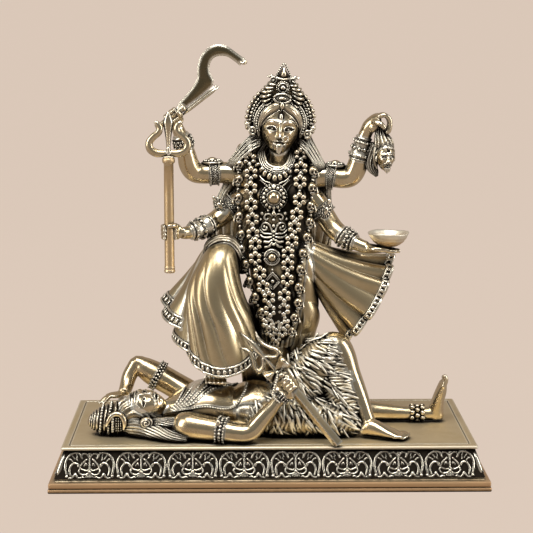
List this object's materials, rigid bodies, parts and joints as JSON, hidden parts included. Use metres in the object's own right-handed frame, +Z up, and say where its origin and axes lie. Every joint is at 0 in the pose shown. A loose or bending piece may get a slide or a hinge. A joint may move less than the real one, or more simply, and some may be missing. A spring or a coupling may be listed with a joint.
{
  "type": "kali figure",
  "caption": "Cast brass group of a four-armed standing figure with raised weapons, one foot on the chest of a reclining figure, on an oblong plinth.",
  "frame": {"origin": "middle of the plinth's underside", "axes": "+X to the standing figure's left (the viewer's right from the front), +Y to the back, +Z up"},
  "size_m": [0.208, 0.1016, 0.2066],
  "materials": {
    "cast_brass": "polished on the high places, with dark brown-black patina in every recess",
    "plain_brass": "smooth rubbed brass with fine scratches"
  },
  "bodies": {
    "root": {"plinth": "cast_brass", "standing_figure": "cast_brass", "reclining_figure": "cast_brass", "sickle_sword": "plain_brass", "trident": "plain_brass", "bowl": "plain_brass", "small_trident": "plain_brass"}
  },
  "joints": []
}
